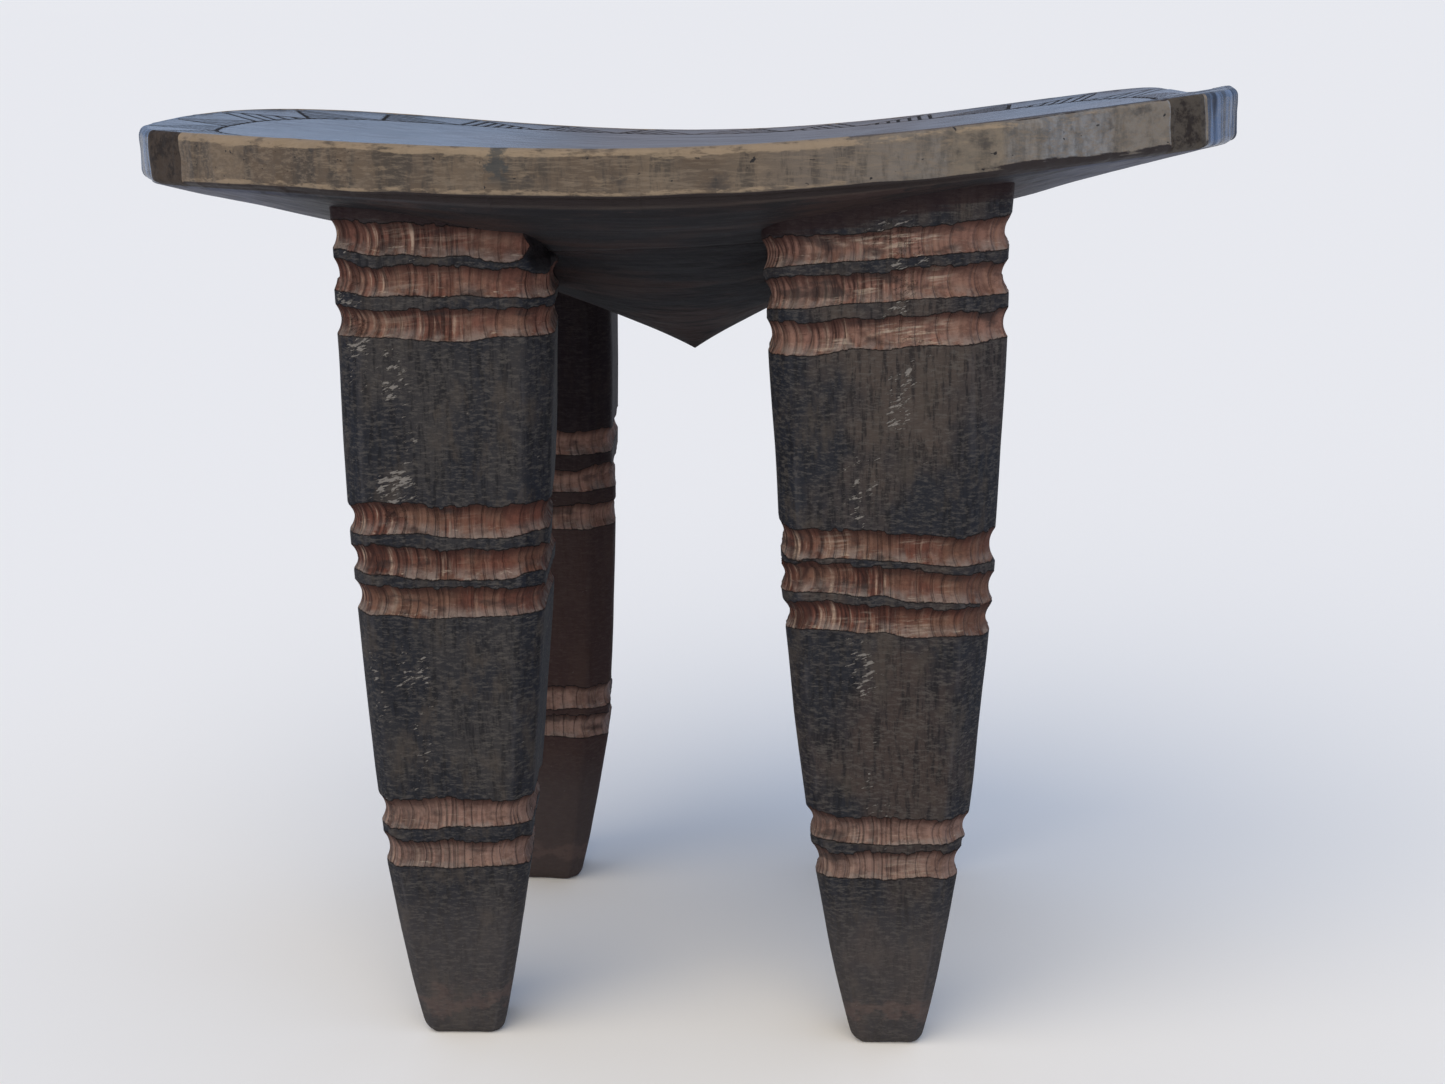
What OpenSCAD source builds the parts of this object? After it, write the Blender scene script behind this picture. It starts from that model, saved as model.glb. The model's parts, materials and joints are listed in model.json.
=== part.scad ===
// Carved wooden headrest: a dished oval plate on four stout tapering legs,
// with a pointed boss hanging under the middle of the plate.
// Origin on the ground under the middle of the plate. +X runs along the plate, +Z is up.

/* [Plate] */
// Length of the plate, end to end
rest_length = 190; // [160:1:230]
// Depth of the plate, front to back
rest_depth = 116; // [106:1:140]
// Height of the middle of the dished top above the ground
rest_height = 149.5; // [145:0.5:165]
// Squareness of the oval plan, where 2 is a true ellipse
plan_power = 2.5; // [2.2:0.1:3.5]
// Number of flat cuts that make up the rim
rim_cuts = 64; // [32:8:96]
// Thickness of the plate at the middle of its long sides
rim_thickness = 7.3; // [6:0.1:9]
// Extra thickness of the rim at the two ends
end_thickening = 1.4; // [0:0.1:3]
// How far the ends of the top stand above its middle
end_rise = 8.6; // [6:0.1:12]
// How far the long sides of the top stand above its middle
side_rise = 2.4; // [1:0.1:4]
// Slope of the plate, with the +X end higher
rest_tilt = 1.8; // [0:0.1:3]

/* [Incised border] */
// Distance from the rim to the incised line that frames the top
border_width = 10.5; // [8:0.5:14]
// Width of an incised line
line_width = 0.9; // [0.6:0.1:1.5]
// Depth of an incised line
line_depth = 0.6; // [0.3:0.1:1]
// Number of teeth in the zigzag between the rim and the framing line
border_teeth = 22; // [12:1:30]
// Plain wood left between the zigzag's peaks and the rim
border_edge = 1.5; // [1:0.1:3]

/* [Underside] */
// Thickness of the plate under the middle of the dish
middle_thickness = 9; // [8:0.5:12]
// Length of the flat oval under the plate, inside its sloping edge
flat_length = 114; // [108:1:130]
// Depth of the flat oval under the plate
flat_depth = 100; // [98:1:104]
// Radius of the pointed boss where it leaves the plate
boss_radius = 49; // [40:1:49]
// How far the point of the boss hangs below the plate
boss_drop = 25.9; // [15:0.1:35]

/* [Legs] */
// Spacing of the feet along the length
foot_spacing_x = 73.6; // [70:0.2:76]
// Spacing of the feet along the depth
foot_spacing_y = 69.4; // [66:0.2:72]
// Inward lean of each leg, measured along each axis
leg_lean = 0.5; // [0:0.1:1]
// Width of a leg across its flats at the top
leg_top_width = 35.4; // [32:0.2:38]
// Width of a leg at the ankle, where the last taper starts
ankle_width = 24.6; // [21:0.2:28]
// Height of the ankle above the ground
ankle_height = 31; // [26:1:32]
// Width of a foot
foot_width = 14.2; // [12:0.2:18]
// Depth of a leg, front to back, as a fraction of its width
leg_flatness = 0.94; // [0.85:0.01:1]
// Width cut off each corner of a leg, as a fraction of half its width
corner_cut = 0.17; // [0.1:0.01:0.3]
// Height of the worn edge round a foot
foot_wear = 1.2; // [0.5:0.1:2]

/* [Grooves] */
// Width of a knife-cut groove
groove_width = 5; // [4:0.1:5.6]
// Depth of a knife-cut groove
groove_depth = 1.3; // [0.8:0.1:1.8]
// Distance between the grooves of a band
groove_pitch = 7; // [6.4:0.1:7.4]
// Height of the lowest groove of the ankle band, which has two
ankle_band_height = 35.4; // [35:0.1:38]
// Height of the lowest groove of the middle band, which has three
middle_band_height = 79.9; // [70:0.1:90]
// Height of the lowest groove of the top band, which has three
top_band_height = 126.4; // [115:0.1:127]

/* [Hidden] */
$fn = 96;
// Number of fragments of the dish's two long arcs
smooth = 720;

half_length = rest_length / 2;
half_depth = rest_depth / 2;

// Radii of the two curvatures of the dish, from its rise over half a chord
function arc_radius(half_chord, rise) = (half_chord * half_chord + rise * rise) / (2 * rise);
dish_radius_x = arc_radius(half_length, end_rise);
dish_radius_y = arc_radius(half_depth, side_rise);

// Height of a point of the rim above the middle of the dish
function rim_rise(x, y) = end_rise * pow(x / half_length, 2) + side_rise * pow(y / half_depth, 2);
function rim_depth(x) = rim_thickness + end_thickening * pow(x / half_length, 2);

// Point of a squared oval with semi-axes a and b at the angle t
function signed_pow(v, p) = sign(v) * pow(abs(v), p);
function oval_point(a, b, t) =
    [a * signed_pow(cos(t), 2 / plan_power), b * signed_pow(sin(t), 2 / plan_power)];
function oval(a, b) = [for (i = [0 : rim_cuts - 1]) oval_point(a, b, 360 * i / rim_cuts)];
rim = oval(half_length, half_depth);

// Height that clears the highest point of the dish
clear_height = end_rise + 5;

// A leg runs up past the plate's underside and is cut back to it
leg_height = rest_height;
leg_below = 2;
shaft_steps = 5;
groove_steps = 6;
band_gap = 0.8;

// Half width of a leg at a height: a straight taper to the ankle, then a swelling shaft
function shaft_part(z) = 1 - pow(1 - (z - ankle_height) / (leg_height - ankle_height), 2);
function half_width(z) = z < ankle_height
    ? foot_width / 2 + (ankle_width - foot_width) / 2 * max(z, 0) / ankle_height
    : ankle_width / 2 + (leg_top_width - ankle_width) / 2 * shaft_part(z);

// Levels of a leg as [height, half width], from the top down
function shaft_levels(from, to) = [for (i = [0 : shaft_steps])
    let (z = from + (to - from) * i / shaft_steps) [z, half_width(z)]];
function groove_levels(z) = [for (i = [0 : groove_steps])
    let (t = 1 - 2 * i / groove_steps, level = z + t * groove_width / 2)
    [level, half_width(level) - groove_depth * (1 - t * t)]];
function band_levels(low, count) =
    [for (i = [count - 1 : -1 : 0]) each groove_levels(low + i * groove_pitch)];

// Heights just above and just below a band of grooves
function band_top(low, count) = low + (count - 1) * groove_pitch + groove_width / 2 + band_gap;
function band_foot(low) = low - groove_width / 2 - band_gap;
leg_levels = concat(
    [[leg_height, half_width(leg_height)]],
    band_levels(top_band_height, 3),
    shaft_levels(band_foot(top_band_height), band_top(middle_band_height, 3)),
    band_levels(middle_band_height, 3),
    shaft_levels(band_foot(middle_band_height), band_top(ankle_band_height, 2)),
    band_levels(ankle_band_height, 2),
    [[ankle_height, half_width(ankle_height)], [foot_wear, half_width(foot_wear)],
     [0, foot_width / 2 - foot_wear], [-leg_below, foot_width / 2 - foot_wear]]);

// Corners of a leg's section, which is a square with its corners cut off
function leg_section(half) =
    let (deep = half * leg_flatness, cut = half * corner_cut)
    [[half, cut - deep], [half, deep - cut], [half - cut, deep], [cut - half, deep],
     [-half, deep - cut], [-half, cut - deep], [cut - half, -deep], [half - cut, -deep]];

// Places children in the plate's own tilted frame, with the middle of the dish at its origin
module in_plate_frame() {
    translate([0, 0, rest_height]) rotate([0, -rest_tilt, 0]) children();
}

// Solid under the plate's outline, from the sloping underside up past the top
module plate_blank() {
    n = rim_cuts;
    upper = [for (p = rim) [p[0], p[1], clear_height]];
    lower = [for (p = rim) [p[0], p[1], rim_rise(p[0], p[1]) - rim_depth(p[0])]];
    flat = [for (p = oval(flat_length / 2, flat_depth / 2)) [p[0], p[1], -middle_thickness]];
    walls = [for (ring = [0 : 1], i = [0 : n - 1], half = [0 : 1])
        let (a = ring * n + i, b = ring * n + (i + 1) % n)
        half == 0 ? [a, b, b + n] : [a, b + n, a + n]];
    top_cap = [for (i = [n - 1 : -1 : 0]) i];
    bottom_cap = [for (i = [0 : n - 1]) 2 * n + i];
    polyhedron(points = concat(upper, lower, flat), faces = concat([top_cap, bottom_cap], walls));
}

// Space above the dish: a barrel on a level axis, sunk by the depth of any incised line
module above_dish(sink = 0) {
    translate([0, 0, dish_radius_x])
    rotate([90, 0, 0])
    rotate_extrude($fn = smooth)
    intersection() {
        translate([dish_radius_x - dish_radius_y, 0]) circle(dish_radius_y + sink, $fn = smooth);
        translate([0, -rest_depth]) square([dish_radius_x + 1, 2 * rest_depth]);
    }
}

// Straight incised line between two points of the plan
module incised_line(from, to) {
    run = to - from;
    translate(from)
    rotate(atan2(run[1], run[0]))
    translate([0, -line_width / 2])
    square([norm(run), line_width]);
}

// Framing line and zigzag of the border, in plan
module border_pattern() {
    inner_a = half_length - border_width;
    inner_b = half_depth - border_width;
    outer_a = half_length - border_edge;
    outer_b = half_depth - border_edge;
    step = 360 / border_teeth;
    difference() {
        polygon(oval(inner_a + line_width / 2, inner_b + line_width / 2));
        polygon(oval(inner_a - line_width / 2, inner_b - line_width / 2));
    }
    for (i = [0 : border_teeth - 1]) {
        valley = oval_point(inner_a, inner_b, i * step);
        peak = oval_point(outer_a, outer_b, (i + 0.5) * step);
        next_valley = oval_point(inner_a, inner_b, (i + 1) * step);
        incised_line(valley, peak);
        incised_line(next_valley, peak);
    }
}

module rest_plate() {
    color([0.33, 0.29, 0.26])
    in_plate_frame()
    difference() {
        plate_blank();
        above_dish();
        intersection() {
            above_dish(line_depth);
            translate([0, 0, -side_rise]) linear_extrude(clear_height) border_pattern();
        }
    }
}

// Pointed cone that hangs under the plate, with its base on the plate's flat
module boss_cone() {
    translate([0, 0, -middle_thickness - boss_drop])
    cylinder(h = boss_drop, r1 = 0, r2 = boss_radius);
}

module centre_boss() {
    color([0.17, 0.15, 0.15])
    in_plate_frame() boss_cone();
}

// One hewn leg about its own axis, with its grooves cut across the flats
module leg_shaft() {
    n = 8;
    last = len(leg_levels) - 1;
    walls = [for (k = [0 : last - 1], i = [0 : n - 1])
        let (a = k * n + i, b = k * n + (i + 1) % n) [a, b, b + n, a + n]];
    top_cap = [for (i = [n - 1 : -1 : 0]) i];
    bottom_cap = [for (i = [0 : n - 1]) last * n + i];
    polyhedron(
        points = [for (level = leg_levels, p = leg_section(level[1])) [p[0], p[1], level[0]]],
        faces = concat([top_cap, bottom_cap], walls));
}

// Leg at the corner given by the signs of its x and y
module leg(side_x, side_y) {
    color([0.22, 0.17, 0.15])
    difference() {
        translate([side_x * foot_spacing_x / 2, side_y * foot_spacing_y / 2, 0])
        rotate([side_y * leg_lean, -side_x * leg_lean, 0])
        leg_shaft();
        in_plate_frame() {
            plate_blank();
            boss_cone();
        }
        translate([-rest_length, -rest_length, -10]) cube([2 * rest_length, 2 * rest_length, 10]);
    }
}

module leg_front_left() { leg(-1, -1); }
module leg_front_right() { leg(1, -1); }
module leg_back_left() { leg(-1, 1); }
module leg_back_right() { leg(1, 1); }

rest_plate();
centre_boss();
leg_front_left();
leg_front_right();
leg_back_left();
leg_back_right();
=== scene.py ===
"""Carved wooden headrest: a dished oval plate on four stout grooved legs, with a pointed boss under it.

Shapes are worked out in millimetres and written to Blender in metres. The plate and the boss are made in the
plate's own frame, whose origin is the middle of the dish and which slopes up towards +X.
"""

import functools
import itertools
import json
import math

import bpy
import numpy as np
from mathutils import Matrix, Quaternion, Vector


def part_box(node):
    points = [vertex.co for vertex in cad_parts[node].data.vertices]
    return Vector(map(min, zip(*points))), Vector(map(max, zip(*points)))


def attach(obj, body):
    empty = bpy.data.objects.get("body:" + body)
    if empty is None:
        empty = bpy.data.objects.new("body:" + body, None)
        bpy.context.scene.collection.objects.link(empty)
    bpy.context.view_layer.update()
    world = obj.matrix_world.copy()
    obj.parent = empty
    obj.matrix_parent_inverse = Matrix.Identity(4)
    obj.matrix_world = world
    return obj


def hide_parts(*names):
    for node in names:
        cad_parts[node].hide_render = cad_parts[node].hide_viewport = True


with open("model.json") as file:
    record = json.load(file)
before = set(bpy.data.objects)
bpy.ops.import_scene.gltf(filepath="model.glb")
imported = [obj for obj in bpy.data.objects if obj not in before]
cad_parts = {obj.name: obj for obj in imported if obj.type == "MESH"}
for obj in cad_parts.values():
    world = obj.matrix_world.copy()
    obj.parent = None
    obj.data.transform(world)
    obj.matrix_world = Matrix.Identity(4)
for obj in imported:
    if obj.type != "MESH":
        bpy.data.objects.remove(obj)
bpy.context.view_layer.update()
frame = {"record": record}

MM = 0.001

# ---------------------------------------------------------------- sizes, in millimetres

plate_low, plate_high = (np.array(corner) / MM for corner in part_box("rest_plate"))
boss_low, boss_high = (np.array(corner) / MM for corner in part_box("centre_boss"))
feet = {m["name"].replace("foot", "leg"): np.array(m["pos_m"]) / MM for m in frame["record"]["mounts"]}

HALF_LENGTH, HALF_DEPTH = (plate_high - plate_low)[:2] / 2
TILT = math.radians(1.8)  # the +X end is higher
BOSS_HANG = 34.9  # point of the boss below the middle of the dish
DISH_HEIGHT = boss_low[2] + BOSS_HANG * math.cos(TILT)

FRONT_POWER, BACK_POWER = 2.4, 2.6  # squareness of the oval plan, where 2 is an ellipse
SIDE_RISE = 2.6  # the long sides of the top above its middle
# A low place in the back rim: its depth, and its place and half width as fractions of the half length
BACK_DIP, DIP_PLACE, DIP_HALF = 1.4, 0.965, 0.045
RIM_DEPTH, END_THICKENING = 7.8, 1.0  # height of the rim's wall, and how much more it is at the ends
EDGE = 1.25  # worn rounding of the rim's two edges
# Widths of the cuts round the rim, which are narrow near the +X end, and a width between the two kinds
CUT_WIDTHS, NARROW_WIDTHS, NARROW_WITHIN, NARROW_UNDER = (3.5, 8.5), (1.8, 3.0), 26, 3.2
# Fractions of the half length: where the front's two stained cuts are and the half widths of the left and the
# right one, and where the polished ends, with their painted blue reflection, begin at the front and at the
# back
STAINED_PLACE, STAINED_HALVES, POLISH_AND_REFLECTION_FRONT, POLISH_AND_REFLECTION_BACK = 0.88, (0.045, 0.035), 0.918, 0.95
SMEAR_LEFT = 23.5  # a dark smear on the rim's front edge, left of the middle

# Half sizes of the flat under the plate, and how far it is below the middle of the dish
FLAT_LENGTH, FLAT_DEPTH, FLAT_DROP = 61, 51, 8.4
BOSS_LENGTH = (boss_high - boss_low)[1] / 2
BOSS_DEPTH = 0.86 * BOSS_LENGTH
BOSS_SLOPE, BOSS_BLEND = 0.43, 4.0  # rise of its sides, and how far its foot is rounded into the plate
TIP_DROP, TIP_REACH = 1.5, 8.0  # the boss steepens near its point
PLATE_CORE, BOSS_CORE = -6.0, -6.5  # heights of hidden faces inside the block, from the middle of the dish

BORDER_END, BORDER_SIDE = 13.5, 9.5  # from the rim to the line that frames the top
TEETH, TIP_INSET, HATCH_GAPS = 28, 0.9, (5, 8)  # the zigzag, and the gaps between hatch lines in a tooth
LINE_WIDTH, LINE_DEPTH = 0.7, 0.3
FIELD_INSET, BORDER_INSET = 15, 1.7  # the border's fine rings start and end this far from the rim

AROUND = 1152  # points round the rim
TOP, WALL, UNDER = 0.0, 1.0, 2.0  # values of the mark that tells the plate's sides apart


def through(*points):
    """Polynomial through a few chosen points."""
    x, y = zip(*points)
    return np.poly1d(np.polyfit(x, y, len(points) - 1))


# Height of the top along its middle, and its slope from front to back, by the fraction of the half length
DISH = through((-1, 9.2), (-0.5, 3.6), (0, 0), (0.5, 1.95), (1, 7.7))
TWIST = through((-1, 0.013), (-0.5, -0.022), (0, -0.033), (0.5, -0.031), (1, -0.019))

# ---------------------------------------------------------------- repeatable noise


def lattice(corner, seed):
    """Repeatable random number from -1 to 1 for each whole-number point."""
    mixed = corner[..., 0] * 374761393 + corner[..., 1] * 668265263 + corner[..., 2] * 2147483647
    mixed = (mixed + seed * 1274126177) & 0xFFFFFFFF
    mixed = ((mixed ^ (mixed >> 13)) * 1274126177) & 0xFFFFFFFF
    return ((mixed ^ (mixed >> 16)) & 0xFFFF) / 32767.5 - 1


def noise(points, cell, seed):
    """Smooth random field from -1 to 1 that changes over about one cell: one size, or one for each axis."""
    scaled = np.asarray(points) / cell
    corner = np.floor(scaled).astype(np.int64)
    part = scaled - corner
    part = part * part * (3 - 2 * part)
    total = np.zeros(scaled.shape[:-1])
    for step in itertools.product((0, 1), repeat=3):
        weight = np.prod(np.where(step, part, 1 - part), axis=-1)
        total += weight * lattice(corner + np.array(step), seed)
    return total


def noise_flat(x, y, cell, seed):
    """The same field over the plan."""
    return noise(np.stack([x, y, np.zeros_like(x)], axis=-1), cell, seed)


def smooth_min(a, b, reach):
    """The lower of two heights, rounded where they cross."""
    overlap = np.clip(0.5 + (b - a) / (2 * reach), 0, 1)
    return b * (1 - overlap) + a * overlap - reach * overlap * (1 - overlap)


# ---------------------------------------------------------------- meshes


def ring_faces(start_a, count_a, start_b, count_b):
    """Faces between two rings of points, one of which may have twice as many points as the other."""
    if count_a == count_b:
        i = np.arange(count_a)
        j = (i + 1) % count_a
        return np.stack([start_a + i, start_b + i, start_b + j, start_a + j], axis=1).tolist()
    i = np.arange(min(count_a, count_b))
    j = (i + 1) % len(i)
    even, odd, after = 2 * i, 2 * i + 1, (2 * i + 2) % max(count_a, count_b)
    if count_a > count_b:
        fans = ([start_a + even, start_b + i, start_a + odd], [start_a + odd, start_b + i, start_b + j],
                [start_a + odd, start_b + j, start_a + after])
    else:
        fans = ([start_a + i, start_b + even, start_b + odd], [start_a + i, start_b + odd, start_a + j],
                [start_a + j, start_b + odd, start_b + after])
    return np.concatenate([np.stack(fan, axis=1) for fan in fans]).tolist()


def ring_mesh(name, rings, marks, top, bottom):
    """Closed mesh through rings of points in millimetres, from a point at the top to a point at the bottom.

    Each ring holds its points counter-clockwise from above, and marks holds each ring's values for the
    material."""
    points = np.concatenate([[top], *rings, [bottom]]) * MM
    starts = 1 + np.cumsum([0] + [len(ring) for ring in rings])
    faces = []
    for k in range(len(rings) - 1):
        faces += ring_faces(starts[k], len(rings[k]), starts[k + 1], len(rings[k + 1]))
    first, last = np.arange(len(rings[0])), np.arange(len(rings[-1]))
    faces += [[0, 1 + i, 1 + (i + 1) % len(first)] for i in first]
    end = len(points) - 1
    faces += [[end, starts[-2] + (i + 1) % len(last), starts[-2] + i] for i in last]

    mesh = bpy.data.meshes.new(name)
    mesh.from_pydata(points.tolist(), [], faces)
    mesh.polygons.foreach_set("use_smooth", np.ones(len(mesh.polygons), bool))
    for mark, values in marks.items():
        layer = mesh.attributes.new(mark, "FLOAT", "POINT")
        joined = np.concatenate([values[0][:1], *values, values[-1][:1]])
        layer.data.foreach_set("value", joined.astype(np.float32))
    mesh.validate()
    piece = bpy.data.objects.new(name, mesh)
    bpy.context.scene.collection.objects.link(piece)
    return piece


def from_plate_frame(points):
    """Points of the plate's own frame, moved to where the plate stands."""
    x, y, z = points[..., 0], points[..., 1], points[..., 2]
    return np.stack([x * math.cos(TILT) - z * math.sin(TILT), y,
                     x * math.sin(TILT) + z * math.cos(TILT) + DISH_HEIGHT], axis=-1)


# ---------------------------------------------------------------- shape of the plate


def dish(x, y):
    """Height of the top."""
    along = np.clip(x / HALF_LENGTH, -1, 1)
    dip = BACK_DIP * np.exp(-(((along - DIP_PLACE) / DIP_HALF) ** 2)) * np.clip(y / 15, 0, 1)
    return DISH(along) + SIDE_RISE * (y / HALF_DEPTH) ** 2 + TWIST(along) * y - dip


def oval_power(y):
    """Squareness of the oval's front and back halves."""
    return np.where(y > 0, BACK_POWER, FRONT_POWER)


def oval(half_length, half_depth, turn):
    """Point of a squared oval at each angle."""
    c, s = np.cos(turn), np.sin(turn)
    power = 2 / oval_power(s)
    return np.stack([half_length * np.sign(c) * np.abs(c) ** power,
                     half_depth * np.sign(s) * np.abs(s) ** power], axis=-1)


def oval_reach(x, y, half_length, half_depth):
    """How far out a point is, from 0 in the middle of a squared oval to 1 on it."""
    power = oval_power(y)
    return (np.abs(x / half_length) ** power + np.abs(y / half_depth) ** power) ** (1 / power)


def even_turns(count):
    """Angles that space points evenly along the rim, and the distance along the rim of each."""
    fine = np.linspace(0, 2 * np.pi, 20001)
    path = oval(HALF_LENGTH, HALF_DEPTH, fine)
    length = np.concatenate([[0], np.cumsum(np.linalg.norm(np.diff(path, axis=0), axis=1))])
    along = np.arange(count) * length[-1] / count
    return np.interp(along, length, fine), along, length[-1]


turns, rim_along, rim_length = even_turns(AROUND)
rim_plan = oval(HALF_LENGTH, HALF_DEPTH, turns)


def rim_underside(x, y):
    """Height of the rim's lower edge."""
    return dish(x, y) - RIM_DEPTH - END_THICKENING * (x / HALF_LENGTH) ** 2


def underside(x, y):
    """Height of the underside: a flat that turns up to the rim, with the boss rising out of it."""
    out = np.maximum(oval_reach(x, y, HALF_LENGTH, HALF_DEPTH), 1e-6)
    flat_out = np.maximum(oval_reach(x, y, FLAT_LENGTH, FLAT_DEPTH), 1e-6)
    slope_part = out * (flat_out - 1) / np.maximum(flat_out - out, 1e-6)
    slope_part = (slope_part + np.sqrt(slope_part**2 + 0.02)) / 2
    flat = -FLAT_DROP + TWIST(np.clip(x / HALF_LENGTH, -1, 1)) * y
    edge = rim_underside(x / out, y / out)
    plate = flat + (edge - flat) * np.minimum(slope_part, 1.02)
    radius = np.hypot(x, y * BOSS_LENGTH / BOSS_DEPTH)
    boss = -BOSS_HANG + BOSS_SLOPE * radius + TIP_DROP * (1 - np.exp(-radius / TIP_REACH))
    tool_marks = 0.22 * noise_flat(x, y, (14, 6, 1), 3) + 0.07 * noise_flat(x, y, (5, 1.6, 1), 4)
    return smooth_min(plate, boss, BOSS_BLEND) + tool_marks * np.clip(10.4 * (1 - out), 0, 1)


def rim_cut_widths(rng):
    """Widths of the cuts that go once round the rim."""
    widths = []
    while sum(widths) < rim_length:
        from_end = min(sum(widths), rim_length - sum(widths))
        widths.append(rng.uniform(*(NARROW_WIDTHS if from_end < NARROW_WITHIN else CUT_WIDTHS)))
    return np.array(widths) * rim_length / sum(widths)


def rim_tones(tone):
    """Tone round the rim from the tones of its cuts: 1 for the two stained ones, -1 for the polished ends,
    which carry a painted blue reflection.
    """
    tone = np.mean([np.roll(tone, shift) for shift in range(-3, 4)], axis=0)
    x, y = rim_plan.T
    along = np.abs(x) / HALF_LENGTH
    stained = (y < 0) & (np.abs(along - STAINED_PLACE) < np.where(x < 0, *STAINED_HALVES))
    tone = np.where((along > POLISH_AND_REFLECTION_FRONT) & (y < 0), -1.0, np.where(stained, 1.0, tone))
    polish_and_reflection = np.clip((along - POLISH_AND_REFLECTION_BACK) / (1 - POLISH_AND_REFLECTION_BACK), 0, 1) * (y >= 0)
    return tone * (1 - polish_and_reflection) - polish_and_reflection


def rim_cuts():
    """Inset of the rim all round, in cuts of uneven width, how each cut slants downwards, and its tone."""
    rng = np.random.default_rng(5)
    widths = rim_cut_widths(rng)
    edges = np.concatenate([[0], np.cumsum(widths)])
    cut = np.clip(np.searchsorted(edges, rim_along, side="right") - 1, 0, len(widths) - 1)
    across = (rim_along - edges[cut]) / widths[cut] - 0.5
    narrow = widths[cut] < NARROW_UNDER
    step = rng.uniform(0, 0.35, len(widths))[cut]
    slant = rng.uniform(-0.4, 0.4, len(widths))[cut]
    hollow = np.where(narrow, 0.5, 0.1) * (1 - 4 * across**2)
    fall = rng.uniform(-0.22, 0.22, len(widths))[cut]
    tone = rng.uniform(0, 0.7, len(widths))[cut]
    return step * ~narrow + slant * across + hollow, fall, rim_tones(tone)


rim_inset, rim_fall, rim_tone = rim_cuts()


def border_segments():
    """Start and end of every straight stroke of the incised border: framing line, zigzag and hatching."""
    rng = np.random.default_rng(9)
    frame_size = HALF_LENGTH - BORDER_END, HALF_DEPTH - BORDER_SIDE
    frame_line = oval(*frame_size, turns[::8])
    strokes = list(zip(frame_line, np.roll(frame_line, -1, axis=0)))
    tooth_turn = np.interp((np.arange(2 * TEETH + 1) + 0.35) * rim_length / (2 * TEETH),
                           np.append(rim_along, rim_length), np.append(turns, 2 * np.pi))
    tooth_turn[1:-1] += rng.uniform(-0.012, 0.012, 2 * TEETH - 1)
    tooth_turn[-1] = tooth_turn[0] + 2 * np.pi
    for k in range(TEETH):
        here, peak, there = tooth_turn[2 * k: 2 * k + 3]
        here, there = (oval(*frame_size, np.array(turn)) for turn in (here, there))
        peak = oval(HALF_LENGTH - TIP_INSET, HALF_DEPTH - TIP_INSET, np.array(peak))
        strokes += [(here, peak), (peak, there)]
        near, far = (here, there) if k % 3 else (there, here)
        count = rng.integers(*HATCH_GAPS)
        for part in (np.arange(1, count) + rng.uniform(-0.12, 0.12, count - 1)) / count:
            strokes.append((near + (far - near) * part, far + (peak - far) * (1 - part)))
    starts, ends = zip(*strokes)
    return np.array(starts), np.array(ends)


def distance_to_strokes(points):
    """Distance of each point of the plan from the nearest stroke of the border."""
    starts, ends = border_segments()
    run = ends - starts
    nearest = np.full(len(points), 1e3)
    for start, way in zip(starts, run):
        part = np.clip((points - start) @ way / (way @ way), 0, 1)
        nearest = np.minimum(nearest, np.linalg.norm(points - start - part[:, None] * way, axis=1))
    return nearest


def underside_outline():
    """Outer edge of the underside, and the oval where the boss starts, at the same bearings."""
    outer = oval(HALF_LENGTH - EDGE - 0.5, HALF_DEPTH - EDGE - 0.5, turns)
    bearing = np.arctan2(outer[:, 1], outer[:, 0])
    return outer, np.column_stack([BOSS_LENGTH * np.cos(bearing), BOSS_DEPTH * np.sin(bearing)])


class Rings:
    """Rings of the plate and their marks, added from the middle of the top outwards."""

    def __init__(self):
        self.points, self.marks = [], {"line": [], "side": [], "tone": [], "wear": []}

    def add(self, flat, height, side, line=9.0, wear=0.0):
        """Adds a ring, which may skip points of the rim, by its plan and its height."""
        tone = rim_tone[:: len(rim_tone) // len(flat)]
        self.points.append(np.column_stack([flat, np.broadcast_to(height, len(flat))]))
        for mark, value in zip(self.marks, (line, side, tone, wear)):
            self.marks[mark].append(np.broadcast_to(value, len(flat)).astype(float))


def add_top(rings):
    """The field inside the border, with fewer points towards the middle, and the border's incised lines."""
    inner = oval(HALF_LENGTH - FIELD_INSET, HALF_DEPTH - FIELD_INSET, turns)
    for part, thin in ((0.03, 32), (0.08, 32), (0.15, 16), (0.25, 8), (0.36, 8), (0.48, 4), (0.6, 4),
                       (0.7, 2), (0.8, 2), (0.87, 2), (0.93, 1), (0.97, 1)):
        flat = inner[::thin] * part
        rings.add(flat, dish(*flat.T), TOP)
    for inset in np.linspace(FIELD_INSET, BORDER_INSET, 36):
        flat = oval(HALF_LENGTH - inset, HALF_DEPTH - inset, turns)
        line = distance_to_strokes(flat)
        groove = LINE_DEPTH * np.clip(1 - 2 * line / LINE_WIDTH, 0, 1)
        rings.add(flat, dish(*flat.T) - groove, TOP, line - LINE_WIDTH / 2)


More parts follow.
